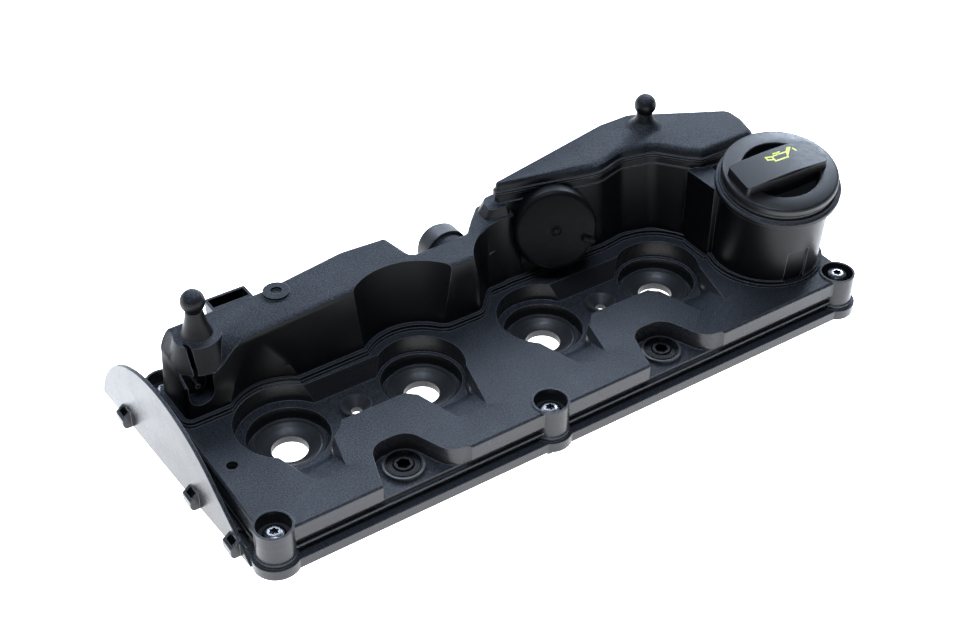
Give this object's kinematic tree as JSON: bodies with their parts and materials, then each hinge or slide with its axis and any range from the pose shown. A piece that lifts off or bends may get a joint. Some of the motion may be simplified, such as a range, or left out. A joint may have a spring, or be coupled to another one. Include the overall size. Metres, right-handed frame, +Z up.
{
  "type": "engine valve cover",
  "caption": "Black plastic engine valve cover with injector wells, welded-on oil separator, pressure valve drum, belt shield and leaning oil filler neck with a bayonet cap.",
  "frame": {"origin": "first injector's axis at the level of its seal hole", "axes": "+X along the injector row towards the oil filler neck, +Y towards the oil separator, +Z up out of the injector bores"},
  "size_m": [0.4381, 0.1929, 0.1264],
  "materials": {
    "base_plastic": "fine-grained black glass-filled plastic",
    "housing_plastic": "fine-grained black glass-filled plastic",
    "cap_plastic": "satin black plastic",
    "grey_plastic": "dark grey plastic",
    "black_rubber": "smooth black rubber",
    "screw_steel": "bright plated steel",
    "spring_steel": "drawn steel wire",
    "black_steel": "black oiled steel"
  },
  "bodies": {
    "cover": {"baffle_plate": "grey_plastic", "baffle_screws": "screw_steel", "clamp_bolt_seal_1": "black_rubber", "clamp_bolt_seal_2": "black_rubber", "cover_base": "base_plastic", "cover_screw_1": "screw_steel", "cover_screw_2": "screw_steel", "cover_screw_3": "screw_steel", "cover_screw_4": "screw_steel", "cover_screw_5": "screw_steel", "cover_screw_6": "screw_steel", "cyclone_block": "grey_plastic", "drain_valve": "black_rubber", "flange_bolt_1": "black_steel", "flange_bolt_2": "black_steel", "flange_bolt_seal_1": "black_rubber", "flange_bolt_seal_2": "black_rubber", "injector_seal_1": "black_rubber", "injector_seal_2": "black_rubber", "injector_seal_3": "black_rubber", "injector_seal_4": "black_rubber", "pcv_cover": "cap_plastic", "pcv_diaphragm": "black_rubber", "pcv_spring": "spring_steel", "perimeter_gasket": "black_rubber", "screw_grommets": "black_rubber", "screw_sleeves": "screw_steel", "separator_housing": "housing_plastic", "separator_lid": "housing_plastic", "vent_clip": "grey_plastic"},
    "cap": {"oil_cap": "cap_plastic", "oil_cap_seal": "black_rubber"}
  },
  "joints": [
    {"name": "cap_turn", "type": "hinge", "parent": "cover", "child": "cap", "pos_m": [0.3293, -0.0258, 0.0225], "axis": [-0.0885, -0.1574, 0.9836], "range_deg": [0, 90]}
  ]
}
